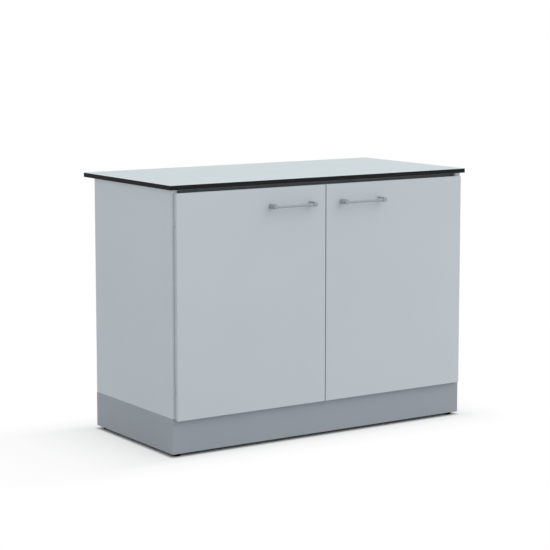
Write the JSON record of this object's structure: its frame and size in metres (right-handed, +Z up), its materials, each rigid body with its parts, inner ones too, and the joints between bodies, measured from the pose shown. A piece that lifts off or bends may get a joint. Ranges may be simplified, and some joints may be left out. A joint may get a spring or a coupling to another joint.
{
  "type": "laboratory base bench",
  "caption": "Free-standing laboratory bench: a compact-laminate worktop on a steel cupboard with hinged doors, bow handles, an inside shelf, a plinth and levelling feet.",
  "frame": {"origin": "on the floor, at the middle of the bench's outline seen from above, handles included", "axes": "+X to the right along the worktop, +Y to the back, +Z up; the doors and handles face -Y"},
  "size_m": [1.22, 0.639, 0.9],
  "materials": {
    "body_powder_coat": "fine orange-peel powder coat, satin, light grey",
    "door_powder_coat": "fine orange-peel powder coat, satin, light grey",
    "rail_powder_coat": "powder coat, satin, dark grey",
    "plinth_powder_coat": "fine orange-peel powder coat, satin, mid grey",
    "compact_laminate": "compact laminate, pale grey faces on a black core, fine matt grain",
    "zinc_plated_steel": "bright zinc plating",
    "pin_steel": "bright ground steel",
    "sleeve_steel": "bright nickel-plated steel",
    "handle_plastic": "moulded plastic, satin, mid grey",
    "bumper_rubber": "soft translucent grey",
    "foot_plastic": "moulded black plastic, matt",
    "catch_plastic": "moulded white plastic",
    "magnet_steel": "nickel-plated poles and magnet"
  },
  "bodies": {
    "cabinet": {"back_panel": "body_powder_coat", "base_pan": "body_powder_coat", "carcass_rivets": "zinc_plated_steel", "catch_housings": "catch_plastic", "catch_magnets": "magnet_steel", "catch_screws": "zinc_plated_steel", "foot_brackets": "zinc_plated_steel", "foot_nuts": "zinc_plated_steel", "front_top_rail": "rail_powder_coat", "hinge_necks_left": "zinc_plated_steel", "hinge_necks_right": "zinc_plated_steel", "hinge_screws": "zinc_plated_steel", "plinth_back": "plinth_powder_coat", "plinth_front": "plinth_powder_coat", "plinth_left": "plinth_powder_coat", "plinth_right": "plinth_powder_coat", "rear_top_rail": "rail_powder_coat", "shelf": "body_powder_coat", "shelf_clips": "zinc_plated_steel", "shelf_stiffener": "body_powder_coat", "side_liner_left": "body_powder_coat", "side_liner_right": "body_powder_coat", "side_shell_left": "body_powder_coat", "side_shell_right": "body_powder_coat", "worktop": "compact_laminate", "worktop_screws": "zinc_plated_steel"},
    "door_left": {"door_left_bumpers": "bumper_rubber", "door_left_handle": "handle_plastic", "door_left_handle_screws": "zinc_plated_steel", "door_left_handle_sleeves": "sleeve_steel", "door_left_hinge_leaves": "zinc_plated_steel", "door_left_hinge_pins": "pin_steel", "door_left_liner": "door_powder_coat", "door_left_shell": "door_powder_coat", "door_left_stiffener": "zinc_plated_steel"},
    "door_right": {"door_right_bumpers": "bumper_rubber", "door_right_handle": "handle_plastic", "door_right_handle_screws": "zinc_plated_steel", "door_right_handle_sleeves": "sleeve_steel", "door_right_hinge_leaves": "zinc_plated_steel", "door_right_hinge_pins": "pin_steel", "door_right_liner": "door_powder_coat", "door_right_shell": "door_powder_coat", "door_right_stiffener": "zinc_plated_steel"},
    "foot_front_left": {"foot_pad_front_left": "foot_plastic", "foot_stud_front_left": "zinc_plated_steel"},
    "foot_front_right": {"foot_pad_front_right": "foot_plastic", "foot_stud_front_right": "zinc_plated_steel"},
    "foot_back_left": {"foot_pad_back_left": "foot_plastic", "foot_stud_back_left": "zinc_plated_steel"},
    "foot_back_right": {"foot_pad_back_right": "foot_plastic", "foot_stud_back_right": "zinc_plated_steel"}
  },
  "joints": [
    {"name": "left_door_swing", "type": "hinge", "parent": "cabinet", "child": "door_left", "pos_m": [-0.585, -0.2755, 0.498], "axis": [0, 0, -1], "range_deg": [0, 110]},
    {"name": "right_door_swing", "type": "hinge", "parent": "cabinet", "child": "door_right", "pos_m": [0.585, -0.2755, 0.498], "axis": [0, 0, 1], "range_deg": [0, 110]},
    {"name": "foot_front_left_height", "type": "slide", "parent": "cabinet", "child": "foot_front_left", "axis": [0, 0, -1], "range_m": [0, 0.015]},
    {"name": "foot_front_right_height", "type": "slide", "parent": "cabinet", "child": "foot_front_right", "axis": [0, 0, -1], "range_m": [0, 0.015]},
    {"name": "foot_back_left_height", "type": "slide", "parent": "cabinet", "child": "foot_back_left", "axis": [0, 0, -1], "range_m": [0, 0.015]},
    {"name": "foot_back_right_height", "type": "slide", "parent": "cabinet", "child": "foot_back_right", "axis": [0, 0, -1], "range_m": [0, 0.015]}
  ]
}
